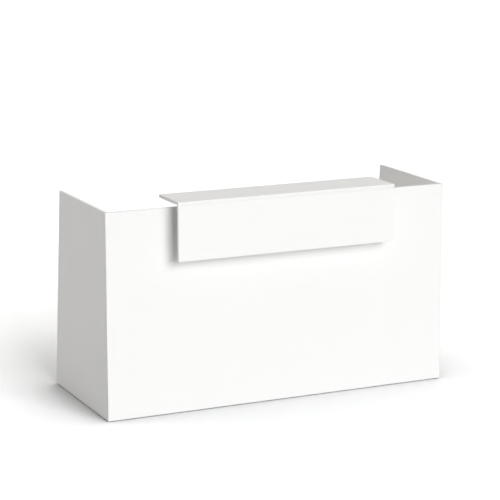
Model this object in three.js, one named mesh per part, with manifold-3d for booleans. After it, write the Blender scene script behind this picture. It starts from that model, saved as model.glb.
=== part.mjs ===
// Reception desk of white melamine boards, open at the back, with a raised visitors' counter on its front.
// Millimetres, +Z up, the front faces -Y. The origin is on the floor, in the middle of the desk's box.
// Left and right are as seen from the front.
import * as THREE from 'three';
import { mergeVertices } from 'three/addons/utils/BufferGeometryUtils.js';
import Module from 'manifold-3d';

const wasm = await Module();
wasm.setup();

// Boards
const BOARD = 18; // melamine-faced chipboard of the panels and the counter
const WORKTOP_BOARD = 25;
const EDGING = 2; // plastic strip glued round every board
const ARRIS = 1; // rounding along the strip's outer corners
const GAP = 0.2; // glue lines, and the clearance between pieces that touch

// Carcass: heights are from the panels' bottom edge, depths from the front panel's face
const WIDTH = 2000;
const PANEL_HEIGHT = 1115;
const DEPTH_AT_FLOOR = 815; // the rear edge of a side leans, so that it is deepest at the floor
const DEPTH_AT_TOP = 700;
const FLOOR_GAP = 5; // left under the panels by the feet

// Worktop behind the front panel
const WORKTOP_HEIGHT = 740; // above the floor
const WORKTOP_DEPTH = 700;

// Visitors' counter: a board over the front panel, and a fascia hanging from its front edge
const COUNTER_LENGTH = 1270;
const COUNTER_DEPTH = 260;
const COUNTER_RISE = 24; // clear height over the front panel's top edge
const FASCIA_HEIGHT = 298;
const FASCIA_STANDOFF = 80; // clear space between the fascia and the front panel

// Levelling feet, screwed up into sockets in the panels' bottom edges
const SOCKET = { hole: 12, holeDepth: 28, body: 11.6, bore: 8.6, length: 26, flange: 16, flangeHeight: 1 };
const FOOT = { pad: 17, chamfer: 0.8, stem: 8, stemLength: 22, clearance: 0.3 };
const SIDE_FOOT_INSET = 70; // from the ends of a side's bottom edge
const PANEL_FOOT_X = 500;

// Cam fittings that pull the front panel on to the sides
const CAM = { diameter: 15, depth: 13.4, recess: 0.3, setback: 34, mouth: 6.6 };
const CAM_HOLE = { diameter: 15.4, depth: 14 };
const BOLT = { thread: 5.6, threadLength: 11, shank: 7, shankLength: 24, neck: 4, head: 6, headLength: 2.5 };
const BOLT_HOLE = { thread: 6, threadDepth: 11.5, shank: 8 };
const BOLT_TIP = 1; // the head stops short of the cam's middle, and the cam's mouth runs past it
const CAM_HEIGHTS = { lower: 100, middle: PANEL_HEIGHT / 2, upper: PANEL_HEIGHT - 100 };

// Steel angles, bent from strip, with two screw holes in each leg
const WORKTOP_ANGLE = { leg: 40, length: 60, wall: 2.5, bend: 3, hole: 5, holeSpacing: 32 };
const COUNTER_ANGLE = { leg: 30, length: 44, wall: 2, bend: 2.5, hole: 4.5, holeSpacing: 24 };
const SIDE_BRACKET_DEPTHS = { front: 200, rear: 560 };
const PANEL_BRACKET_XS = { left: -640, middle: 0, right: 640 };
const COUNTER_ANGLE_XS = { left_end: -560, left: -240, right: 240, right_end: 560 };

// Steel channel that stiffens the worktop, its web against the underside
const CHANNEL = { width: 40, height: 20, wall: 2, length: 1500, fromRear: 140 };

// T brackets, welded from flat bar, that carry the counter over the front panel's top edge
const T_BRACKET = { width: 60, bar: 5, drop: 110, front: 60, rear: 140 };
const T_BRACKET_HOLES = { diameter: 5.5, spacing: 36, inset: 20 };
const T_BRACKET_XS = { left: -480, middle: 0, right: 480 };

// Tubes that hold the lower part of the fascia off the front panel
const SPACER = { diameter: 22, bore: 8, aboveFasciaBottom: 45 };

// Cable grommets in the worktop, each a flanged sleeve with a lid that turns on its ledge
const GROMMET = { body: 79.2, drop: 22, flange: 90, flangeHeight: 2.5, rim: 1, mouth: 74 };
const GROMMET_LEDGE = { bore: 68, below: 2.5 };
const GROMMET_HOLE = 80;
const LID = { diameter: 73.2, height: 4, notchWidth: 30, notchDepth: 16 };
const GROMMET_X = 400;
const GROMMET_FROM_PANEL = 100;

// Places that follow from the dimensions
const HALF_WIDTH = WIDTH / 2;
const INNER_HALF_WIDTH = HALF_WIDTH - BOARD;
const WORKTOP_TOP = WORKTOP_HEIGHT - FLOOR_GAP;
const WORKTOP_UNDERSIDE = WORKTOP_TOP - WORKTOP_BOARD;
const WORKTOP_FRONT = BOARD + GAP;
const WORKTOP_REAR = WORKTOP_FRONT + WORKTOP_DEPTH;
const COUNTER_UNDERSIDE = PANEL_HEIGHT + COUNTER_RISE;
const COUNTER_FRONT = -FASCIA_STANDOFF - BOARD;
const COUNTER_REAR = COUNTER_FRONT + COUNTER_DEPTH;
const COUNTER_END = COUNTER_LENGTH / 2;
const FASCIA_BOTTOM = COUNTER_UNDERSIDE - FASCIA_HEIGHT;
const SIDES = { left: -1, right: 1 };

// Facets round a fitting, round what the boards hide, round a screw hole and round a grommet
const ROUND = 16;
const HIDDEN_ROUND = 12;
const SCREW_ROUND = 8;
const GROMMET_ROUND = 36;

const MELAMINE = { color: 0xf3f3f1, roughness: 0.45, metalness: 0 };
const EDGE_STRIP = { color: 0xf1f1ef, roughness: 0.4, metalness: 0 };
const WHITE_STEEL = { color: 0xe8e8e6, roughness: 0.5, metalness: 0 };
const ZINC = { color: 0xb7babd, roughness: 0.35, metalness: 1 };
const WHITE_PLASTIC = { color: 0xe6e6e4, roughness: 0.4, metalness: 0 };
const GREY_NYLON = { color: 0xb4b4b2, roughness: 0.6, metalness: 0 };

function piece(name, geometry, finish) {
  const mesh = new THREE.Mesh(geometry, new THREE.MeshStandardMaterial(finish));
  mesh.name = name;
  return mesh;
}

// A closed solid of a geometry, for cutting
function solid(geometry) {
  const bare = geometry.clone();
  bare.deleteAttribute('normal');
  bare.deleteAttribute('uv');
  const merged = mergeVertices(bare);
  const vertProperties = new Float32Array(merged.attributes.position.array);
  const triVerts = new Uint32Array(merged.index.array);
  return new wasm.Manifold(new wasm.Mesh({ numProp: 3, vertProperties, triVerts }));
}

function cut(geometry, tools) {
  const mesh = tools.reduce((rest, tool) => rest.subtract(solid(tool)), solid(geometry)).getMesh();
  const shared = new THREE.BufferGeometry();
  shared.setAttribute('position', new THREE.BufferAttribute(mesh.vertProperties, 3));
  shared.setIndex(new THREE.BufferAttribute(mesh.triVerts, 1));
  const faceted = shared.toNonIndexed();
  faceted.computeVertexNormals();
  return faceted;
}

// A drill hole from a point on a surface, with the drill standing a little proud of it
function bore(diameter, depth, start, direction, facets) {
  const proud = 5;
  const drill = new THREE.CylinderGeometry(diameter / 2, diameter / 2, depth + proud, facets);
  drill.translate(0, (depth - proud) / 2, 0);
  drill.applyQuaternion(new THREE.Quaternion().setFromUnitVectors(new THREE.Vector3(0, 1, 0), direction));
  return drill.translate(...start);
}

function axis(x, y, z) {
  return new THREE.Vector3(x, y, z);
}

function points(pairs) {
  return pairs.map(([u, v]) => new THREE.Vector2(u, v));
}

function rectangle(left, bottom, right, top) {
  return points([[left, bottom], [right, bottom], [right, top], [left, top]]);
}

// Moves each side of a convex anticlockwise outline inwards by a distance
function inset(outline, distance) {
  const normals = outline.map((corner, i) => {
    const run = outline[(i + 1) % outline.length].clone().sub(corner).normalize();
    return new THREE.Vector2(-run.y, run.x);
  });
  return outline.map((corner, i) => {
    const before = normals.at(i - 1);
    const after = normals[i];
    const diagonal = before.clone().add(after).divideScalar(1 + before.dot(after));
    return corner.clone().addScaledVector(diagonal, distance);
  });
}

// An outline given thickness along +Z, with its edges rounded by an arris where one is given
function slab(outline, thickness, arris = 0) {
  const geometry = new THREE.ExtrudeGeometry(new THREE.Shape(outline), {
    depth: thickness - 2 * arris,
    bevelEnabled: arris > 0,
    bevelThickness: arris,
    bevelSize: arris,
    bevelOffset: -arris,
    bevelSegments: 2,
  });
  return geometry.translate(0, 0, arris);
}

// A solid of revolution about Z
function turned(profile, facets) {
  return new THREE.LatheGeometry(points(profile), facets).rotateX(Math.PI / 2);
}

// A board lying in XY: the chipboard, and the strip glued round its edge, drilled together
function board(name, outline, thickness, bores = []) {
  const core = cut(slab(inset(outline, EDGING + GAP), thickness), bores);
  const inside = slab(inset(outline, EDGING), 3 * thickness).translate(0, 0, -thickness);
  const strip = cut(slab(outline, thickness, ARRIS), [inside, ...bores]);
  const group = new THREE.Group();
  group.add(piece(name, core, MELAMINE), piece(`${name}_edging`, strip, EDGE_STRIP));
  return group;
}

// Turns a board's XY outline into XZ, with its thickness towards the front
function standAcross(group, rearFace) {
  group.rotation.x = Math.PI / 2;
  group.position.y = rearFace;
  return group;
}

// Turns an XY outline into YZ, with its thickness along +X
function standAlong(object, leftFace) {
  object.quaternion.set(0.5, 0.5, 0.5, 0.5);
  object.position.x = leftFace;
  return object;
}

// The hole for a foot's socket in the bottom edge of a standing board, in the board's own plane
function socketHole(along) {
  return bore(SOCKET.hole, SOCKET.holeDepth, [along, 0, BOARD / 2], axis(0, 1, 0), HIDDEN_ROUND);
}

function frontPanel() {
  const outline = rectangle(-HALF_WIDTH, 0, HALF_WIDTH, PANEL_HEIGHT);
  const bores = [-PANEL_FOOT_X, PANEL_FOOT_X].map(socketHole);
  for (const sign of Object.values(SIDES)) {
    for (const height of Object.values(CAM_HEIGHTS)) {
      const start = [sign * (HALF_WIDTH - BOARD / 2), height, 0];
      bores.push(bore(BOLT_HOLE.thread, BOLT_HOLE.threadDepth, start, axis(0, 0, 1), HIDDEN_ROUND));
    }
  }
  return standAcross(board('front_panel', outline, BOARD, bores), BOARD);
}

function sidePanel(side, sign) {
  const front = BOARD + GAP;
  const outline = points([
    [front, 0],
    [DEPTH_AT_FLOOR, 0],
    [DEPTH_AT_TOP, PANEL_HEIGHT],
    [front, PANEL_HEIGHT],
  ]);
  const bores = [front + SIDE_FOOT_INSET, DEPTH_AT_FLOOR - SIDE_FOOT_INSET].map(socketHole);
  const innerFace = sign < 0 ? BOARD : 0;
  for (const height of Object.values(CAM_HEIGHTS)) {
    const camStart = [front + CAM.setback, height, innerFace];
    const boltStart = [front, height, BOARD / 2];
    bores.push(bore(CAM_HOLE.diameter, CAM_HOLE.depth, camStart, axis(0, 0, sign), ROUND));
    bores.push(bore(BOLT_HOLE.shank, CAM.setback, boltStart, axis(1, 0, 0), HIDDEN_ROUND));
  }
  const leftFace = sign < 0 ? -HALF_WIDTH : INNER_HALF_WIDTH;
  return standAlong(board(`${side}_side_panel`, outline, BOARD, bores), leftFace);
}

// A cam flush in the inner face of a side, and the bolt whose head it holds, screwed into the front panel
function camFitting(side, sign, level) {
  const cam = new THREE.CylinderGeometry(CAM.diameter / 2, CAM.diameter / 2, CAM.depth, ROUND);
  cam.rotateZ(Math.PI / 2);
  const depthFromFace = CAM.recess + CAM.depth / 2;
  const mouthStart = [sign * (BOARD / 2 - depthFromFace), -CAM.diameter / 2, 0];
  const mouth = bore(CAM.mouth, CAM.diameter / 2 + BOLT_TIP, mouthStart, axis(0, 1, 0), HIDDEN_ROUND);
  const camMesh = piece(`cam_${side}_${level}`, cut(cam, [mouth]), ZINC);
  const edge = BOARD + GAP;
  camMesh.position.set(sign * (INNER_HALF_WIDTH + depthFromFace), edge + CAM.setback, CAM_HEIGHTS[level]);

  const headEnd = CAM.setback - BOLT_TIP;
  const bolt = new THREE.LatheGeometry(points([
    [0, -BOLT.threadLength],
    [BOLT.thread / 2, -BOLT.threadLength],
    [BOLT.thread / 2, GAP],
    [BOLT.shank / 2, GAP],
    [BOLT.shank / 2, BOLT.shankLength],
    [BOLT.neck / 2, BOLT.shankLength],
    [BOLT.neck / 2, headEnd - BOLT.headLength],
    [BOLT.head / 2, headEnd - BOLT.headLength],
    [BOLT.head / 2, headEnd],
    [0, headEnd],
  ]), HIDDEN_ROUND);
  const boltMesh = piece(`cam_bolt_${side}_${level}`, bolt, ZINC);
  boltMesh.position.set(sign * (HALF_WIDTH - BOARD / 2), edge, CAM_HEIGHTS[level]);
  return [camMesh, boltMesh];
}

// A foot screwed fully in, and its socket. Height 0 is the bottom edge of the board above
function levellingFoot(name, x, y) {
  const flangeBottom = -GAP - SOCKET.flangeHeight;
  const socket = turned([
    [SOCKET.bore / 2, flangeBottom],
    [SOCKET.flange / 2, flangeBottom],
    [SOCKET.flange / 2, -GAP],
    [SOCKET.body / 2, -GAP],
    [SOCKET.body / 2, SOCKET.length],
    [SOCKET.bore / 2, SOCKET.length],
    [SOCKET.bore / 2, flangeBottom],
  ], HIDDEN_ROUND);
  const padTop = flangeBottom - FOOT.clearance;
  const foot = turned([
    [0, -FLOOR_GAP],
    [FOOT.pad / 2 - FOOT.chamfer, -FLOOR_GAP],
    [FOOT.pad / 2, -FLOOR_GAP + FOOT.chamfer],
    [FOOT.pad / 2, padTop],
    [FOOT.stem / 2, padTop],
    [FOOT.stem / 2, FOOT.stemLength],
    [0, FOOT.stemLength],
  ], ROUND);
  const group = new THREE.Group();
  group.add(piece(name, foot, GREY_NYLON), piece(`${name}_socket`, socket, ZINC));
  group.position.set(x, y, 0);
  return group;
}

// A bent angle whose outer faces meet on the Y axis: one leg runs along +X under a board, one down -Z
function angleBracket(name, { leg, length, wall, bend, hole, holeSpacing }, finish) {
  const profile = new THREE.Shape();
  profile.moveTo(0, -leg);
  profile.lineTo(wall, -leg);
  profile.absarc(wall + bend, -wall - bend, bend, Math.PI, Math.PI / 2, true);
  profile.lineTo(leg, -wall);
  profile.lineTo(leg, 0);
  profile.absarc(wall + bend, -wall - bend, wall + bend, Math.PI / 2, Math.PI, false);
  const bar = new THREE.ExtrudeGeometry(profile, { depth: length, bevelEnabled: false, curveSegments: 4 });
  bar.translate(0, 0, -length / 2).rotateX(Math.PI / 2);
  const middle = (leg + wall + bend) / 2;
  const holes = [-holeSpacing / 2, holeSpacing / 2].flatMap((along) => [
    bore(hole, 2 * wall, [middle, along, 0], axis(0, 0, -1), SCREW_ROUND),
    bore(hole, 2 * wall, [0, along, -middle], axis(1, 0, 0), SCREW_ROUND),
  ]);
  return piece(name, cut(bar, holes), finish);
}

function worktop() {
  const halfLength = INNER_HALF_WIDTH - GAP;
  const outline = rectangle(-halfLength, WORKTOP_FRONT, halfLength, WORKTOP_REAR);
  const holes = Object.values(SIDES).map((sign) => {
    const start = [sign * GROMMET_X, BOARD + GROMMET_FROM_PANEL, WORKTOP_BOARD];
    return bore(GROMMET_HOLE, 2 * WORKTOP_BOARD, start, axis(0, 0, -1), GROMMET_ROUND);
  });
  const group = board('worktop', outline, WORKTOP_BOARD, holes);
  group.position.z = WORKTOP_UNDERSIDE;
  return group;
}

function worktopBrackets() {
  const brackets = [];
  const height = WORKTOP_UNDERSIDE - GAP;
  for (const [side, sign] of Object.entries(SIDES)) {
    for (const [end, depth] of Object.entries(SIDE_BRACKET_DEPTHS)) {
      const bracket = angleBracket(`worktop_bracket_${side}_${end}`, WORKTOP_ANGLE, WHITE_STEEL);
      bracket.position.set(sign * (INNER_HALF_WIDTH - GAP), depth, height);
      bracket.rotation.z = sign < 0 ? 0 : Math.PI;
      brackets.push(bracket);
    }
  }
  for (const [place, x] of Object.entries(PANEL_BRACKET_XS)) {
    const bracket = angleBracket(`worktop_bracket_panel_${place}`, WORKTOP_ANGLE, WHITE_STEEL);
    bracket.position.set(x, BOARD + GAP, height);
    bracket.rotation.z = Math.PI / 2;
    brackets.push(bracket);
  }
  return brackets;
}

function worktopStiffener() {
  const half = CHANNEL.width / 2;
  const { wall, height, length } = CHANNEL;
  const profile = points([
    [-half, -height],
    [wall - half, -height],
    [wall - half, -wall],
    [half - wall, -wall],
    [half - wall, -height],
    [half, -height],
    [half, 0],
    [-half, 0],
  ]);
  const channel = standAlong(piece('worktop_stiffener', slab(profile, length), WHITE_STEEL), -length / 2);
  channel.position.y = WORKTOP_REAR - CHANNEL.fromRear;
  channel.position.z = WORKTOP_UNDERSIDE - GAP;
  return channel;
}

function grommet(side, sign) {
  const { body, drop, flange, flangeHeight, rim, mouth } = GROMMET;
  const sleeve = turned([
    [GROMMET_LEDGE.bore / 2, -drop],
    [body / 2, -drop],
    [body / 2, GAP],
    [flange / 2, GAP],
    [flange / 2, flangeHeight - rim],
    [flange / 2 - rim, flangeHeight],
    [mouth / 2, flangeHeight],
    [mouth / 2, -GROMMET_LEDGE.below],
    [GROMMET_LEDGE.bore / 2, -GROMMET_LEDGE.below],
    [GROMMET_LEDGE.bore / 2, -drop],
  ], GROMMET_ROUND);

  // The notch in the lid's rim lies towards the front panel
  const radius = LID.diameter / 2;
  const halfNotch = LID.notchWidth / 2;
  const notchAngle = Math.asin(halfNotch / radius);
  const outline = new THREE.Shape();
  outline.moveTo(-halfNotch, LID.notchDepth - radius);
  outline.lineTo(halfNotch, LID.notchDepth - radius);
  outline.absarc(0, 0, radius, notchAngle - Math.PI / 2, 1.5 * Math.PI - notchAngle, false);
  const options = { depth: LID.height, bevelEnabled: false, curveSegments: GROMMET_ROUND / 2 };
  const lid = piece(`grommet_${side}_lid`, new THREE.ExtrudeGeometry(outline, options), WHITE_PLASTIC);
  lid.position.z = GAP - GROMMET_LEDGE.below;

  const group = new THREE.Group();
  group.add(piece(`grommet_${side}`, sleeve, WHITE_PLASTIC), lid);
  group.position.set(sign * GROMMET_X, BOARD + GROMMET_FROM_PANEL, WORKTOP_TOP);
  return group;
}

function counterTop() {
  const outline = rectangle(-COUNTER_END, COUNTER_FRONT, COUNTER_END, COUNTER_REAR);
  const group = board('counter_top', outline, BOARD);
  group.position.z = COUNTER_UNDERSIDE;
  return group;
}

function counterFascia() {
  const outline = rectangle(-COUNTER_END, FASCIA_BOTTOM, COUNTER_END, COUNTER_UNDERSIDE - GAP);
  return standAcross(board('counter_fascia', outline, BOARD), -FASCIA_STANDOFF);
}

// The upright stands on the inside of the front panel, and the flange reaches both ways under the counter
function counterBracket(place, x) {
  const { width, bar, drop, front, rear } = T_BRACKET;
  const { diameter, spacing, inset: fromEnd } = T_BRACKET_HOLES;
  const face = BOARD + GAP;
  const top = COUNTER_UNDERSIDE - GAP;
  const bottom = PANEL_HEIGHT - drop;
  const outline = points([
    [face, bottom],
    [face + bar, bottom],
    [face + bar, top - bar],
    [rear, top - bar],
    [rear, top],
    [-front, top],
    [-front, top - bar],
    [face, top - bar],
  ]);
  const holes = [(width - spacing) / 2, (width + spacing) / 2].flatMap((across) => [
    bore(diameter, 2 * bar, [face, bottom + fromEnd, across], axis(1, 0, 0), SCREW_ROUND),
    bore(diameter, 2 * bar, [face, PANEL_HEIGHT - fromEnd, across], axis(1, 0, 0), SCREW_ROUND),
    bore(diameter, 2 * bar, [rear - fromEnd, top, across], axis(0, -1, 0), SCREW_ROUND),
    bore(diameter, 2 * bar, [fromEnd - front, top, across], axis(0, -1, 0), SCREW_ROUND),
  ]);
  const bracket = piece(`counter_bracket_${place}`, cut(slab(outline, width), holes), WHITE_STEEL);
  return standAlong(bracket, x - width / 2);
}

function counterAngle(place, x) {
  const angle = angleBracket(`counter_angle_${place}`, COUNTER_ANGLE, WHITE_STEEL);
  angle.position.set(x, GAP - FASCIA_STANDOFF, COUNTER_UNDERSIDE - GAP);
  angle.rotation.z = Math.PI / 2;
  return angle;
}

function fasciaSpacer(place, x) {
  const ring = new THREE.Shape().absarc(0, 0, SPACER.diameter / 2, 0, 2 * Math.PI, false);
  ring.holes.push(new THREE.Path().absarc(0, 0, SPACER.bore / 2, 0, 2 * Math.PI, true));
  const options = { depth: FASCIA_STANDOFF - 2 * GAP, bevelEnabled: false, curveSegments: ROUND / 2 };
  const tube = piece(`fascia_spacer_${place}`, new THREE.ExtrudeGeometry(ring, options), WHITE_STEEL);
  standAcross(tube, -GAP);
  tube.position.x = x;
  tube.position.z = FASCIA_BOTTOM + SPACER.aboveFasciaBottom;
  return tube;
}

const desk = new THREE.Group();
desk.add(frontPanel(), worktop(), worktopStiffener(), ...worktopBrackets(), counterTop(), counterFascia());
for (const [side, sign] of Object.entries(SIDES)) {
  desk.add(sidePanel(side, sign), grommet(side, sign));
  for (const level of Object.keys(CAM_HEIGHTS)) {
    desk.add(...camFitting(side, sign, level));
  }
  const sideMiddle = sign * (HALF_WIDTH - BOARD / 2);
  desk.add(levellingFoot(`foot_${side}_front`, sideMiddle, BOARD + GAP + SIDE_FOOT_INSET));
  desk.add(levellingFoot(`foot_${side}_rear`, sideMiddle, DEPTH_AT_FLOOR - SIDE_FOOT_INSET));
  desk.add(levellingFoot(`foot_panel_${side}`, sign * PANEL_FOOT_X, BOARD / 2));
}
for (const [place, x] of Object.entries(T_BRACKET_XS)) {
  desk.add(counterBracket(place, x), fasciaSpacer(place, x));
}
for (const [place, x] of Object.entries(COUNTER_ANGLE_XS)) {
  desk.add(counterAngle(place, x));
}
desk.position.set(0, -(COUNTER_FRONT + DEPTH_AT_FLOOR) / 2, FLOOR_GAP);

export default desk;
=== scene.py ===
import math

import bmesh
import bpy
from mathutils import Matrix, Vector


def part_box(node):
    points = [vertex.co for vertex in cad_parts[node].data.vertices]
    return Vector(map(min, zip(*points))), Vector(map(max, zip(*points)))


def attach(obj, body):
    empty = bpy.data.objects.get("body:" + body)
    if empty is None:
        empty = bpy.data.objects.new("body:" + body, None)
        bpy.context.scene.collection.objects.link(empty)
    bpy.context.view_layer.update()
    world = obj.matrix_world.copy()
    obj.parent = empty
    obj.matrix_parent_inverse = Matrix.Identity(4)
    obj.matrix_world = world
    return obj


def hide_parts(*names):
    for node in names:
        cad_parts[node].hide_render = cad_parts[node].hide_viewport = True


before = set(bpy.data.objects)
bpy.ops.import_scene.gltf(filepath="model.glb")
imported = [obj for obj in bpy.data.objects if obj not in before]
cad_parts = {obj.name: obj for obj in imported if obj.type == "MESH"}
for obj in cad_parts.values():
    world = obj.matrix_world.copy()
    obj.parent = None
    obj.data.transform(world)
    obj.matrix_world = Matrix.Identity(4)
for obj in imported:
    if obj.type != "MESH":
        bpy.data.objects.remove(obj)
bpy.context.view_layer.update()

# The photograph's view: from the front left and a little above, through a long lens.
# The place and the two angles were worked out from the desk's edges in the photograph.
camera = bpy.data.objects.new("camera", bpy.data.cameras.new("camera"))
camera.location = (-4.5206, -9.6975, 3.0797)
look_down = math.radians(12.21)
look_right = math.radians(24.92)
camera.rotation_euler = (math.pi / 2 - look_down, 0, -look_right)
camera.data.lens = 142.5
camera.data.sensor_width = 36
camera.data.clip_end = 200
bpy.context.collection.objects.link(camera)
bpy.context.scene.camera = camera
bpy.context.scene.view_settings.view_transform = "Standard"


# The boards: chipboard faced on both sides with white melamine paper, pressed against a plate that
# leaves a fine pearl grain, and sawn to size. The panels, the worktop and the counter are all of it.
class Wire:
    """An output socket in a node tree. Sums on wires add Math nodes to the tree."""

    def __init__(self, tree, socket=None):
        self.tree = tree
        self.socket = socket

    def node(self, kind, settings, links, output=0):
        made = self.tree.nodes.new(kind)
        for name, value in settings.items():
            setattr(made, name, value)
        for name, value in links.items():
            if isinstance(value, Wire):
                self.tree.links.new(value.socket, made.inputs[name])
            else:
                made.inputs[name].default_value = value
        return Wire(self.tree, made.outputs[output] if made.outputs else None)

    def sum(self, operation, first, second):
        return self.node("ShaderNodeMath", {"operation": operation}, {0: first, 1: second})

    def __add__(self, other):
        return self.sum("ADD", self, other)

    def __radd__(self, other):
        return self.sum("ADD", other, self)

    def __mul__(self, other):
        return self.sum("MULTIPLY", self, other)

    def __rmul__(self, other):
        return self.sum("MULTIPLY", other, self)


def new_material(name):
    """A material with an empty node tree, and the wire that its nodes are made from."""
    material = bpy.data.materials.new(name)
    material.use_nodes = True
    material.node_tree.nodes.clear()
    return material, Wire(material.node_tree)


def noise(tree, grains_per_metre, detail):
    """A cloudy pattern over the piece's own coordinates, from 0 to 1."""
    places = tree.node("ShaderNodeTexCoord", {}, {}, output="Object")
    links = {"Vector": places, "Scale": grains_per_metre, "Detail": detail}
    return tree.node("ShaderNodeTexNoise", {}, links)


def blend(tree, share, first, second):
    """A colour between two, by a share from 0 to 1. The colours are a Mix node's inputs 6 and 7."""
    links = {"Factor": share, 6: (*first, 1), 7: (*second, 1)}
    return tree.node("ShaderNodeMix", {"data_type": "RGBA"}, links, output=2)


def rough_skin(tree, height, depth, strength):
    """The bumps that a height from 0 to 1 makes, that many metres deep."""
    links = {"Height": height, "Distance": depth, "Strength": strength}
    return tree.node("ShaderNodeBump", {}, links)


def end_surface(tree, links):
    shader = tree.node("ShaderNodeBsdfPrincipled", {}, links)
    tree.node("ShaderNodeOutputMaterial", {}, {"Surface": shader})


def melamine_finish():
    material, tree = new_material("white_melamine")
    mottle = noise(tree, grains_per_metre=3, detail=3)
    handling = noise(tree, grains_per_metre=24, detail=4)
    pearl = noise(tree, grains_per_metre=900, detail=2)
    paper_white = (0.898, 0.898, 0.893)
    bright_white = (0.912, 0.912, 0.908)
    satin = 0.55
    handled = 0.08 * handling
    uneven = 0.06 * mottle
    links = {
        "Base Color": blend(tree, mottle, paper_white, bright_white),
        "Roughness": satin + handled + uneven,
        "Specular IOR Level": 0.15,
        "Normal": rough_skin(tree, pearl, depth=0.0002, strength=0.12),
    }
    end_surface(tree, links)
    return material


melamine = melamine_finish()
boards = ("front_panel", "left_side_panel", "right_side_panel", "worktop", "counter_top", "counter_fascia")
for board in boards:
    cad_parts[board].material_slots[0].material = melamine


# The edging: a white plastic strip, glued hot round every board and scraped flush. It is a shade
# greyer and smoother than the board's faces, with faint marks of the scraper along it.
def edging_finish():
    material, tree = new_material("white_edging")
    batch = noise(tree, grains_per_metre=5, detail=2)
    scraper = noise(tree, grains_per_metre=420, detail=3)
    strip_grey = (0.884, 0.884, 0.879)
    strip_white = (0.902, 0.902, 0.898)
    smooth = 0.46
    scraped = 0.12 * scraper
    links = {
        "Base Color": blend(tree, batch, strip_grey, strip_white),
        "Roughness": smooth + scraped,
        "Specular IOR Level": 0.2,
        "Normal": rough_skin(tree, scraper, depth=0.0001, strength=0.1),
    }
    end_surface(tree, links)
    return material


edging = edging_finish()
for board in boards:
    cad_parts[board + "_edging"].material_slots[0].material = edging


# The levelling feet: a zinc-plated bush pressed into the bottom edge of a panel, and a grey nylon pad
# on a plated stem that screws up into it. The pad's rim is fluted for the fingers.
def zinc_finish():
    material, tree = new_material("zinc_plate")
    bloom = noise(tree, grains_per_metre=160, detail=3)
    grain = noise(tree, grains_per_metre=1400, detail=2)
    blue_zinc = (0.60, 0.62, 0.65)
    bright_zinc = (0.77, 0.77, 0.76)
    polished = 0.26
    grained = 0.16 * grain
    bloomed = 0.08 * bloom
    links = {
        "Base Color": blend(tree, bloom, blue_zinc, bright_zinc),
        "Metallic": 1.0,
        "Roughness": polished + grained + bloomed,
        "Normal": rough_skin(tree, grain, depth=0.00005, strength=0.2),
    }
    end_surface(tree, links)
    return material


def nylon_finish():
    material, tree = new_material("grey_nylon")
    flow = noise(tree, grains_per_metre=250, detail=3)
    spark = noise(tree, grains_per_metre=2600, detail=1)
    deep_grey = (0.43, 0.43, 0.425)
    pale_grey = (0.47, 0.47, 0.465)
    moulded = 0.48
    streaked = 0.2 * flow
    links = {
        "Base Color": blend(tree, flow, deep_grey, pale_grey),
        "Roughness": moulded + streaked,
        "Normal": rough_skin(tree, spark, depth=0.00008, strength=0.3),
    }
    end_surface(tree, links)
    return material


same_place = 0.000001
crease = math.radians(38)


def drawn(mesh, profile):
    """A profile of pairs of radius and height, as points joined by edges."""
    points = [mesh.verts.new((radius, 0, height)) for radius, height in profile]
    return points + [mesh.edges.new(pair) for pair in zip(points, points[1:])]


def turned(profile, facets):
    """A mesh turned about an upright axis from pairs of radius and height."""
    mesh = bmesh.new()
    bmesh.ops.spin(
        mesh,
        geom=drawn(mesh, profile),
        cent=(0, 0, 0),
        axis=(0, 0, 1),
        angle=2 * math.pi,
        steps=facets,
        use_merge=True,
    )
    bmesh.ops.remove_doubles(mesh, verts=mesh.verts, dist=same_place)
    bmesh.ops.recalc_face_normals(mesh, faces=mesh.faces)
    return mesh


def sharp_edges(mesh):
    return [edge for edge in mesh.edges if edge.calc_face_angle(0) > crease]


def round_off(mesh, edges, radius, segments):
    bmesh.ops.bevel(
        mesh,
        geom=edges,
        offset=radius,
        segments=segments,
        profile=0.5,
        affect="EDGES",
        material=-1,
        clamp_overlap=True,
    )


def add_piece(name, mesh, finish, slot, body, *stands_for):
    """Makes a mesh a piece that moves with a body, shaded smooth between its sharp edges and flat faces."""
    for face in mesh.faces:
        face.smooth = True
    for edge in sharp_edges(mesh):
        edge.smooth = False
    piece = bpy.data.objects.new(name, bpy.data.meshes.new(name))
    mesh.to_mesh(piece.data)
    mesh.free()
    piece.data.materials.append(finish)
    bpy.context.collection.objects.link(piece)
    flat_faces = piece.modifiers.new("flat_faces", "WEIGHTED_NORMAL")
    flat_faces.keep_sharp = True
    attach(piece, body)
    if stands_for:
        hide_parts(*stands_for)


def fluted_pad():
    """A turned pad with every other corner of its rim drawn in."""
    rim = 0.0085
    height = 0.0035
    floor_chamfer = 0.0013
    floor_rise = 0.0010
    top_chamfer = 0.0008
    profile = [
        (0, 0),
        (rim - floor_chamfer, 0),
        (rim, floor_rise),
        (rim, height - top_chamfer),
        (rim - top_chamfer, height),
        (0, height),
    ]
    flutes = 24
    furrow = 0.955
    inside_rim = rim - 0.0002
    mesh = turned(profile, facets=2 * flutes)
    step = math.pi / flutes
    furrows = []
    for corner in mesh.verts:
        count = round(math.atan2(corner.co.y, corner.co.x) / step)
        if corner.co.xy.length > inside_rim and count % 2:
            furrows.append(corner)
    bmesh.ops.scale(mesh, vec=(furrow, furrow, 1), verts=furrows)
    return mesh


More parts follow.
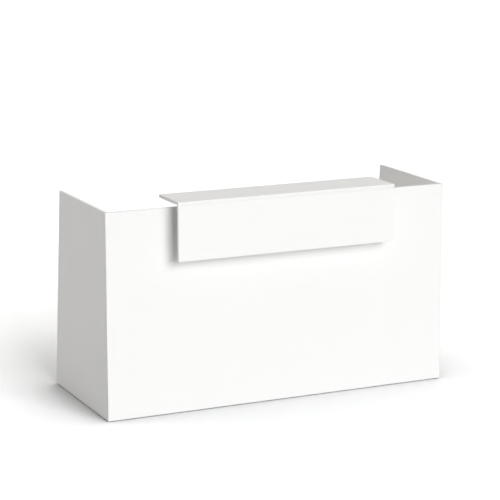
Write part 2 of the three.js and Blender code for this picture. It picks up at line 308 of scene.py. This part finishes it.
def threaded_stem():
    """An M8 thread: one turn of its profile, wound up the stem and cut square at both ends."""
    root = 0.0034
    crest = 0.00395
    pitch = 0.00125
    crest_start = 0.42 * pitch
    crest_end = 0.58 * pitch
    turns = 19
    facets = 20
    mesh = bmesh.new()
    bmesh.ops.spin(
        mesh,
        geom=drawn(mesh, [(root, 0), (crest, crest_start), (crest, crest_end), (root, pitch)]),
        cent=(0, 0, 0),
        axis=(0, 0, 1),
        dvec=(0, 0, pitch / facets),
        angle=2 * math.pi * turns,
        steps=facets * turns,
    )
    bmesh.ops.remove_doubles(mesh, verts=mesh.verts, dist=same_place)
    bmesh.ops.recalc_face_normals(mesh, faces=mesh.faces)
    for height, side in ((pitch, 1), (turns * pitch, -1)):
        bmesh.ops.bisect_plane(
            mesh,
            geom=mesh.verts[:] + mesh.edges[:] + mesh.faces[:],
            plane_co=(0, 0, height),
            plane_no=(0, 0, side),
            clear_inner=True,
            dist=same_place,
        )
    bmesh.ops.holes_fill(mesh, edges=mesh.edges)
    bmesh.ops.recalc_face_normals(mesh, faces=mesh.faces)
    return mesh


zinc = zinc_finish()
nylon = nylon_finish()
stem_above_floor = 0.002
bush_profile = [
    (0.0043, 0),
    (0.0076, 0),
    (0.0080, 0.0004),
    (0.0080, 0.0010),
    (0.0058, 0.0010),
    (0.0058, 0.0272),
    (0.0043, 0.0272),
    (0.0043, 0),
]
for place in ("left_front", "left_rear", "right_front", "right_rear", "panel_left", "panel_right"):
    foot = "foot_" + place
    low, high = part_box(foot)
    centre = (low + high) / 2
    pad = fluted_pad()
    bmesh.ops.translate(pad, vec=(centre.x, centre.y, low.z), verts=pad.verts)
    add_piece(foot + "_pad", pad, nylon, "grey_nylon", foot, foot)
    stem = threaded_stem()
    bmesh.ops.translate(stem, vec=(centre.x, centre.y, low.z + stem_above_floor), verts=stem.verts)
    add_piece(foot + "_stem", stem, zinc, "zinc", foot)
    bush = turned(bush_profile, facets=32)
    bush_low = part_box(foot + "_socket")[0]
    bmesh.ops.translate(bush, vec=(centre.x, centre.y, bush_low.z), verts=bush.verts)
    add_piece(foot + "_bush", bush, zinc, "zinc", "desk", foot + "_socket")


# The cam fittings: a zinc cam let into the inner face of a side, with a cross for the screwdriver and a
# pointer to its mouth, and a plated bolt in the front panel whose head the cam draws in.
def corners_of(items):
    return [item for item in items if isinstance(item, bmesh.types.BMVert)]


def take_in(mesh, other):
    """Adds another mesh to a mesh, and frees the other."""
    carried = bpy.data.meshes.new("carried")
    other.to_mesh(carried)
    other.free()
    mesh.from_mesh(carried)
    bpy.data.meshes.remove(carried)


def cross_headed(profile, facets, arm, arm_width, depth):
    """A turned head with a cross recess in its flat top, whose rim is the end of the profile."""
    rim, top = profile[-1]
    rim_share = 0.1
    floor_share = 0.6
    mesh = turned([*profile, (0, top)], facets)
    summit = Vector((0, 0, top))
    pole = [corner for corner in mesh.verts if (corner.co - summit).length < same_place]
    bmesh.ops.dissolve_verts(mesh, verts=pole)
    cap = max(mesh.faces, key=lambda face: face.calc_center_median().z)
    bmesh.ops.inset_individual(mesh, faces=[cap], thickness=rim_share * rim)
    quarter = math.pi / 2
    arm_end = math.pi / 12
    half = arm_width / 2
    for corner in cap.verts:
        turn = math.atan2(corner.co.y, corner.co.x)
        nearest = round(turn / quarter) * quarter
        off = turn - nearest
        back = max(0, abs(off) - arm_end) / (quarter / 2 - arm_end)
        along = arm + (half - arm) * back
        across = half * max(-1, min(off / arm_end, 1))
        spot = Matrix.Rotation(nearest, 3, "Z") @ Vector((along, across, 0))
        corner.co.xy = spot.xy
    sunk = bmesh.ops.extrude_discrete_faces(mesh, faces=[cap])["faces"][0]
    bmesh.ops.scale(mesh, vec=(floor_share, floor_share, 1), verts=sunk.verts)
    bmesh.ops.translate(mesh, vec=(0, 0, -depth), verts=sunk.verts)
    return mesh


def notched_disc(radius, notch_width, notch_depth, thickness, facets):
    """A disc standing on its base, with a square notch in its rim towards -Y."""
    mesh = bmesh.new()
    half = notch_width / 2
    notch_turn = math.asin(half / radius)
    start = mesh.verts.new((half, -radius * math.cos(notch_turn), 0))
    rim_turn = 2 * (math.pi - notch_turn)
    bmesh.ops.spin(mesh, geom=[start], cent=(0, 0, 0), axis=(0, 0, 1), angle=rim_turn, steps=facets)
    across_notch = start.co * Vector((-1, 1, 1))
    others = [corner for corner in mesh.verts if corner is not start]
    end = min(others, key=lambda corner: (corner.co - across_notch).length)
    inner = [mesh.verts.new((side * half, notch_depth - radius, 0)) for side in (-1, 1)]
    for pair in ((end, inner[0]), inner, (inner[1], start)):
        mesh.edges.new(pair)
    base = bmesh.ops.contextual_create(mesh, geom=mesh.edges[:])["faces"]
    raised = bmesh.ops.extrude_face_region(mesh, geom=base)["geom"]
    bmesh.ops.translate(mesh, vec=(0, 0, thickness), verts=corners_of(raised))
    bmesh.ops.recalc_face_normals(mesh, faces=mesh.faces)
    return mesh


cam_radius = 0.0075
cam_depth = 0.0134
cam_arris = 0.0006
mouth_width = 0.0066
mouth_depth = 0.0085
face_depth = 0.0052
body_depth = cam_depth - face_depth
pointer_radius = 0.0012
pointer_from_axis = 0.0054
pointer_height = 0.0002
half_turn = Matrix.Rotation(math.pi, 3, "Z")
face_profile = [
    (0, 0),
    (cam_radius, 0),
    (cam_radius, face_depth - cam_arris),
    (cam_radius - cam_arris, face_depth),
]
for side, inwards in (("left", 1), ("right", -1)):
    for level in ("lower", "middle", "upper"):
        cam = "cam_" + side + "_" + level
        disc = cross_headed(face_profile, facets=48, arm=0.0034, arm_width=0.0018, depth=0.0028)
        bmesh.ops.translate(disc, vec=(0, 0, body_depth), verts=disc.verts)
        take_in(disc, notched_disc(cam_radius, mouth_width, mouth_depth, body_depth, facets=40))
        pointer = bmesh.ops.create_circle(disc, cap_ends=True, radius=pointer_radius, segments=3)["verts"]
        bmesh.ops.rotate(disc, matrix=half_turn, verts=pointer)
        bmesh.ops.translate(disc, vec=(0, -pointer_from_axis, cam_depth), verts=pointer)
        raised = bmesh.ops.extrude_face_region(disc, geom=list(pointer[0].link_faces))["geom"]
        bmesh.ops.translate(disc, vec=(0, 0, pointer_height), verts=corners_of(raised))
        low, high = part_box(cam)
        middle = (low + high) / 2
        middle.x = low.x if inwards > 0 else high.x
        facing = Matrix.Rotation(inwards * math.pi / 2, 4, "Y")
        bmesh.ops.transform(disc, matrix=Matrix.Translation(middle) @ facing, verts=disc.verts)
        add_piece(cam + "_disc", disc, zinc, "zinc", "desk", cam)
        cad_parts["cam_bolt_" + side + "_" + level].material_slots[0].material = zinc


# The worktop brackets: angles bent from steel strip and powder-coated white, two on each side and three
# on the front panel, held by pan-head screws through both legs.
def powder_coat():
    material, tree = new_material("white_powder_coat")
    shade = noise(tree, grains_per_metre=30, detail=2)
    orange_peel = noise(tree, grains_per_metre=520, detail=1)
    thin_coat = (0.845, 0.845, 0.840)
    full_coat = (0.872, 0.872, 0.868)
    baked = 0.42
    peeled = 0.12 * orange_peel
    links = {
        "Base Color": blend(tree, shade, thin_coat, full_coat),
        "Roughness": baked + peeled,
        "Normal": rough_skin(tree, orange_peel, depth=0.0003, strength=0.25),
    }
    end_surface(tree, links)
    return material


def softened(node, radius):
    """A copy of a plain piece with its square edges rounded off."""
    mesh = bmesh.new()
    mesh.from_mesh(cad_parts[node].data)
    flat = math.radians(1)
    square = math.radians(60)
    bmesh.ops.remove_doubles(mesh, verts=mesh.verts, dist=same_place)
    bmesh.ops.dissolve_limit(mesh, angle_limit=flat, verts=mesh.verts, edges=mesh.edges)
    arrises = [edge for edge in mesh.edges if edge.calc_face_angle(0) > square]
    round_off(mesh, arrises, radius, segments=2)
    return mesh


def pan_head(radius, height, flange=0):
    """The profile of a pan head, on a washer flange where one is given."""
    washer = 0
    foot = [(0, 0)]
    if flange:
        washer = 0.0016
        chamfer = 0.0004
        foot += [(flange, 0), (flange, washer - chamfer), (flange - chamfer, washer)]
    flat = 0.62 * radius
    upright = 0.3 * height
    crown_steps = 4
    crown = []
    for part in range(crown_steps + 1):
        turn = part / crown_steps * math.pi / 2
        across = flat + (radius - flat) * math.cos(turn)
        crown.append((across, washer + upright + (height - upright) * math.sin(turn)))
    return [*foot, (radius, washer), *crown]


def drive_screws(name, profile, places):
    """Cross-headed screws at points on the desk, each with the way its head faces, as one piece."""
    flat = profile[-1][0]
    mesh = cross_headed(profile, facets=24, arm=0.72 * flat, arm_width=0.36 * flat, depth=0.6 * flat)
    first = mesh.verts[:] + mesh.edges[:] + mesh.faces[:]
    corners = mesh.verts[:]
    golden_turn = 2.4
    for count, (point, way) in enumerate(places):
        copy = bmesh.ops.duplicate(mesh, geom=first)["geom"]
        driven = Matrix.Rotation(golden_turn * count, 4, "Z")
        facing = way.to_track_quat("Z", "Y").to_matrix().to_4x4()
        place = Matrix.Translation(point) @ facing @ driven
        bmesh.ops.transform(mesh, matrix=place, verts=corners_of(copy))
    bmesh.ops.delete(mesh, geom=corners, context="VERTS")
    add_piece(name, mesh, zinc, "zinc", "desk")


def angle_screws(angle, away, from_corner, spread, wall):
    """The four screws of an angle whose level leg runs away from what it hangs on."""
    low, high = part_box(angle)
    middle = (low + high) / 2
    corner = middle - away * abs((high - low).dot(away)) / 2
    corner.z = high.z
    along = away.cross(up)
    places = []
    for shift in (-spread / 2, spread / 2):
        places.append((corner + away * from_corner + along * shift - up * wall, -up))
        places.append((corner - up * from_corner + along * shift + away * wall, away))
    return places


powder = powder_coat()
up = Vector((0, 0, 1))
rightwards = Vector((1, 0, 0))
backwards = Vector((0, 1, 0))
worktop_angles = {
    "worktop_bracket_left_front": rightwards,
    "worktop_bracket_left_rear": rightwards,
    "worktop_bracket_right_front": -rightwards,
    "worktop_bracket_right_rear": -rightwards,
    "worktop_bracket_panel_left": backwards,
    "worktop_bracket_panel_middle": backwards,
    "worktop_bracket_panel_right": backwards,
}
angle_arris = 0.00025
places = []
for angle, away in worktop_angles.items():
    add_piece(angle + "_angle", softened(angle, angle_arris), powder, "white_steel", "desk", angle)
    places += angle_screws(angle, away, from_corner=0.02275, spread=0.032, wall=0.0025)
worktop_screw = pan_head(radius=0.0045, height=0.003)
drive_screws("worktop_bracket_screws", worktop_screw, places)

# The stiffener: a steel channel, folded from sheet and coated like the brackets, screwed up through its
# web along the underside of the worktop.
channel = softened("worktop_stiffener", radius=0.0006)
add_piece("worktop_channel", channel, powder, "white_steel", "desk", "worktop_stiffener")
low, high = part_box("worktop_stiffener")
web = 0.002
screw_count = 8
places = []
for count in range(screw_count):
    along = (2 * count + 1) / (2 * screw_count)
    across = low.x + along * (high.x - low.x)
    places.append((Vector((across, (low.y + high.y) / 2, high.z - web)), -up))
drive_screws("worktop_channel_screws", worktop_screw, places)


# The cable grommets: a flanged sleeve of moulded white plastic pressed into the worktop, and a lid that
# drops on its ledge and turns, with a notch in the rim for the cables.
def moulded_plastic():
    material, tree = new_material("white_plastic")
    flow = noise(tree, grains_per_metre=28, detail=2)
    spark = noise(tree, grains_per_metre=2200, detail=1)
    dull_white = (0.858, 0.858, 0.848)
    clear_white = (0.880, 0.880, 0.872)
    moulded = 0.36
    sparked = 0.1 * spark
    links = {
        "Base Color": blend(tree, flow, dull_white, clear_white),
        "Roughness": moulded + sparked,
        "Normal": rough_skin(tree, spark, depth=0.00008, strength=0.2),
    }
    end_surface(tree, links)
    return material


def standing_edges(lid):
    """The sharp edges that run up a lid's side, at the mouth and the foot of its notch."""
    least_rise = 0.001
    found = []
    for edge in sharp_edges(lid):
        first, second = edge.verts
        if abs(first.co.z - second.co.z) > least_rise:
            found.append(edge)
    return found


plastic = moulded_plastic()
flange_height = 0.0025
sleeve_profile = [
    (0.0340, -0.0220),
    (0.0396, -0.0220),
    (0.0396, 0.0002),
    (0.0450, 0.0002),
    (0.0450, 0.0010),
    (0.0438, 0.0022),
    (0.0420, flange_height),
    (0.0376, flange_height),
    (0.0370, 0.0019),
    (0.0370, -0.0025),
    (0.0340, -0.0025),
    (0.0340, -0.0220),
]
lid_radius = 0.0366
notch_width = 0.030
notch_depth = 0.016
inside_rim = 0.03
for side in ("left", "right"):
    grommet = "grommet_" + side
    low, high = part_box(grommet)
    centre = (low + high) / 2
    sleeve = turned(sleeve_profile, facets=96)
    bmesh.ops.translate(sleeve, vec=(centre.x, centre.y, high.z - flange_height), verts=sleeve.verts)
    add_piece(grommet + "_sleeve", sleeve, plastic, "white_plastic", "desk", grommet)
    lid_low, lid_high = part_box(grommet + "_lid")
    lid = notched_disc(lid_radius, notch_width, notch_depth, lid_high.z - lid_low.z, facets=96)
    notch_foot = [edge for edge in standing_edges(lid) if edge.verts[0].co.xy.length < inside_rim]
    round_off(lid, notch_foot, radius=0.003, segments=4)
    round_off(lid, standing_edges(lid), radius=0.0015, segments=3)
    top = max(lid.faces, key=lambda face: face.calc_center_median().z)
    round_off(lid, top.edges[:], radius=0.0006, segments=2)
    bmesh.ops.translate(lid, vec=(centre.x, centre.y, lid_low.z), verts=lid.verts)
    add_piece(grommet + "_cap", lid, plastic, "white_plastic", "grommet_lid_" + side, grommet + "_lid")


# The counter brackets: an upright and a flange of flat steel bar, welded into a T on both sides of the
# joint and coated. The upright is screwed to the front panel, and the flange to the counter.
def weld_bead(mesh, corner, ways, length):
    """A fillet weld along X in the corner between two ways, laid in ripples."""
    leg = 0.004
    ripple = 0.0026
    swell = 0.1
    arc_steps = 5
    steps_per_ripple = 4
    steps = round(length / ripple) * steps_per_ripple
    start = corner - Vector((length / 2, 0, 0))
    rim = []
    for part in range(arc_steps + 1):
        turn = part / arc_steps * math.pi / 2
        rim.append(mesh.verts.new(start + leg * (ways[0] * math.cos(turn) + ways[1] * math.sin(turn))))
    face = mesh.faces.new([mesh.verts.new(start), *rim])
    from_corner = Matrix.Translation(-corner)
    size = 1
    for step in range(1, steps + 1):
        moved = bmesh.ops.extrude_face_region(mesh, geom=[face])["geom"]
        if step > 1:
            bmesh.ops.delete(mesh, geom=[face], context="FACES_ONLY")
        face = next(item for item in moved if isinstance(item, bmesh.types.BMFace))
        next_size = 1 + swell * math.sin(2 * math.pi * step / steps_per_ripple)
        growth = next_size / size
        bmesh.ops.translate(mesh, vec=(length / steps, 0, 0), verts=face.verts)
        bmesh.ops.scale(mesh, vec=(1, growth, growth), space=from_corner, verts=face.verts)
        size = next_size


bar = 0.005
glue_line = 0.0002
weld_stops_short = 0.004
screws_apart = 0.036
screw_from_end = 0.020
upper_screw = 0.090
panel_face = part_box("front_panel")[1].y
upright_front = panel_face + glue_line
upright_back = upright_front + bar
places = []
for place in ("left", "middle", "right"):
    bracket = "counter_bracket_" + place
    low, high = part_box(bracket)
    flange_under = high.z - bar
    middle = (low.x + high.x) / 2
    weld_length = high.x - low.x - weld_stops_short
    tee = softened(bracket, radius=0.0005)
    beads = bmesh.new()
    for face_at, outwards in ((upright_front, -backwards), (upright_back, backwards)):
        weld_bead(beads, Vector((middle, face_at, flange_under)), (outwards, -up), weld_length)
    bmesh.ops.recalc_face_normals(beads, faces=beads.faces)
    take_in(tee, beads)
    add_piece(bracket + "_tee", tee, powder, "white_steel", "desk", bracket)
    for across in (middle - screws_apart / 2, middle + screws_apart / 2):
        for height in (low.z + screw_from_end, low.z + upper_screw):
            places.append((Vector((across, upright_back, height)), backwards))
        for depth in (low.y + screw_from_end, high.y - screw_from_end):
            places.append((Vector((across, depth, flange_under)), -up))
drive_screws("counter_bracket_screws", pan_head(radius=0.005, height=0.0034), places)

# The fascia spacers: coated steel tubes between the fascia and the front panel, each drawn up by a
# flange-headed screw from the inside of the panel.
bore = 0.004
outside = 0.011
places = []
for place in ("left", "middle", "right"):
    spacer = "fascia_spacer_" + place
    low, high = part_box(spacer)
    centre = (low + high) / 2
    length = high.y - low.y
    tube = turned([(bore, 0), (outside, 0), (outside, length), (bore, length), (bore, 0)], facets=48)
    round_off(tube, sharp_edges(tube), radius=0.0005, segments=2)
    lying = Matrix.Translation((centre.x, low.y, centre.z)) @ Matrix.Rotation(-math.pi / 2, 4, "X")
    bmesh.ops.transform(tube, matrix=lying, verts=tube.verts)
    add_piece(spacer + "_tube", tube, powder, "white_steel", "desk", spacer)
    places.append((Vector((centre.x, panel_face, centre.z)), backwards))
drive_screws("fascia_spacer_screws", pan_head(radius=0.0055, height=0.0036, flange=0.0085), places)

# The counter angles: small bent angles inside the corner between the counter board and its fascia,
# screwed to both from the hidden side.
places = []
for place in ("left_end", "left", "right", "right_end"):
    angle = "counter_angle_" + place
    add_piece(angle + "_bent", softened(angle, angle_arris), powder, "white_steel", "desk", angle)
    places += angle_screws(angle, backwards, from_corner=0.01725, spread=0.024, wall=0.002)
drive_screws("counter_angle_screws", pan_head(radius=0.004, height=0.0026), places)


# The floor and the light: a pale studio floor that runs to white, with shade and shadow painted into it
# round the desk, a broad soft key from in front, and three weaker and slightly warm lights round the back,
# which leave the sides and the counter darker.
def background_rays(tree):
    """1 where a ray shows the background to the eye, straight or in a shiny surface, and 0 elsewhere."""
    straight = tree.node("ShaderNodeLightPath", {}, {}, output="Is Camera Ray")
    in_gloss = tree.node("ShaderNodeLightPath", {}, {}, output="Is Glossy Ray")
    in_glass = tree.node("ShaderNodeLightPath", {}, {}, output="Is Transmission Ray")
    return straight + in_gloss + in_glass


def heading(from_right, above):
    """The way to a point so many degrees round to the right of the front, and degrees up."""
    right = math.radians(from_right)
    height = math.radians(above)
    level = math.cos(height)
    return Vector((math.sin(right) * level, -math.cos(right) * level, math.sin(height)))


def openness(tree, from_right, above, reach):
    """How far the floor lies open within a reach, from 0 to 1, felt most along one heading, for the floor's
    painted shade.
    """
    way = heading(from_right, above)
    felt = tree.node("ShaderNodeCombineXYZ", {}, {"X": way.x, "Y": way.y, "Z": way.z})
    return tree.node("ShaderNodeAmbientOcclusion", {}, {"Distance": reach, "Normal": felt}, output="AO")


def paint(tree, colour):
    return tree.node("ShaderNodeBsdfDiffuse", {}, {"Color": (*colour, 1)})


def floor_finish():
    """Pale paint in the light it throws back, white to the eye, with shade and shadow painted in where the
    desk closes it off.
    """
    material, tree = new_material("studio_floor")
    plain = paint(tree, (0.8, 0.8, 0.8))
    base = paint(tree, (0.9, 0.9, 0.9))
    lift = paint(tree, (0.76, 0.775, 0.805))
    painted_shadow_black = paint(tree, (0, 0, 0))
    white = tree.node("ShaderNodeAddShader", {}, {0: base, 1: lift})
    # Painted shade: the floor's openness close overhead, towards the back left and towards the key in front
    # stands in for the desk's contact shade and cast shadows.
    overhead = openness(tree, from_right=0, above=90, reach=0.15)
    behind = openness(tree, from_right=220, above=20, reach=0.9)
    ahead = openness(tree, from_right=5, above=25, reach=1.5)
    # Where the desk hides the floor overhead or behind, it loses its lift, a painted shade; where it hides
    # it from the front, it runs to black, a painted shadow.
    painted_contact_shade = tree.node("ShaderNodeMixShader", {}, {0: overhead * behind, 1: base, 2: white})
    floor_with_painted_shadow = tree.node("ShaderNodeMixShader", {}, {0: ahead, 1: painted_shadow_black, 2: painted_contact_shade})
    shown = tree.node("ShaderNodeMixShader", {}, {0: background_rays(tree), 1: plain, 2: floor_with_painted_shadow})
    tree.node("ShaderNodeOutputMaterial", {}, {"Surface": shown})
    return material


floor_mesh = bmesh.new()
bmesh.ops.create_grid(floor_mesh, x_segments=1, y_segments=1, size=80)
floor = bpy.data.objects.new("floor", bpy.data.meshes.new("floor"))
floor_mesh.to_mesh(floor.data)
floor_mesh.free()
floor.data.materials.append(floor_finish())
bpy.context.collection.objects.link(floor)

world = bpy.data.worlds.new("studio")
bpy.context.scene.world = world
world.use_nodes = True
world.node_tree.nodes.clear()
tree = Wire(world.node_tree)
backdrop = tree.node("ShaderNodeBackground", {}, {"Color": (1, 1, 1, 1), "Strength": background_rays(tree)})
tree.node("ShaderNodeOutputWorld", {}, {"Surface": backdrop})


def soft_light(name, from_right, above, width, strength, tint):
    """A distant light along a heading, so many degrees across."""
    lamp = bpy.data.objects.new(name, bpy.data.lights.new(name, "SUN"))
    lamp.data.angle = math.radians(width)
    lamp.data.energy = strength
    lamp.data.color = tint
    lamp.rotation_mode = "QUATERNION"
    lamp.rotation_quaternion = heading(from_right, above).to_track_quat("Z", "Y")
    bpy.context.collection.objects.link(lamp)


daylight = (1, 1, 1)
lamplight = (1, 0.985, 0.955)
soft_light("key", from_right=10, above=20, width=40, strength=2.57, tint=daylight)
soft_light("right", from_right=110, above=58, width=60, strength=0.68, tint=lamplight)
soft_light("back", from_right=185, above=42, width=90, strength=1.04, tint=lamplight)
soft_light("left", from_right=-115, above=10, width=40, strength=0.74, tint=lamplight)
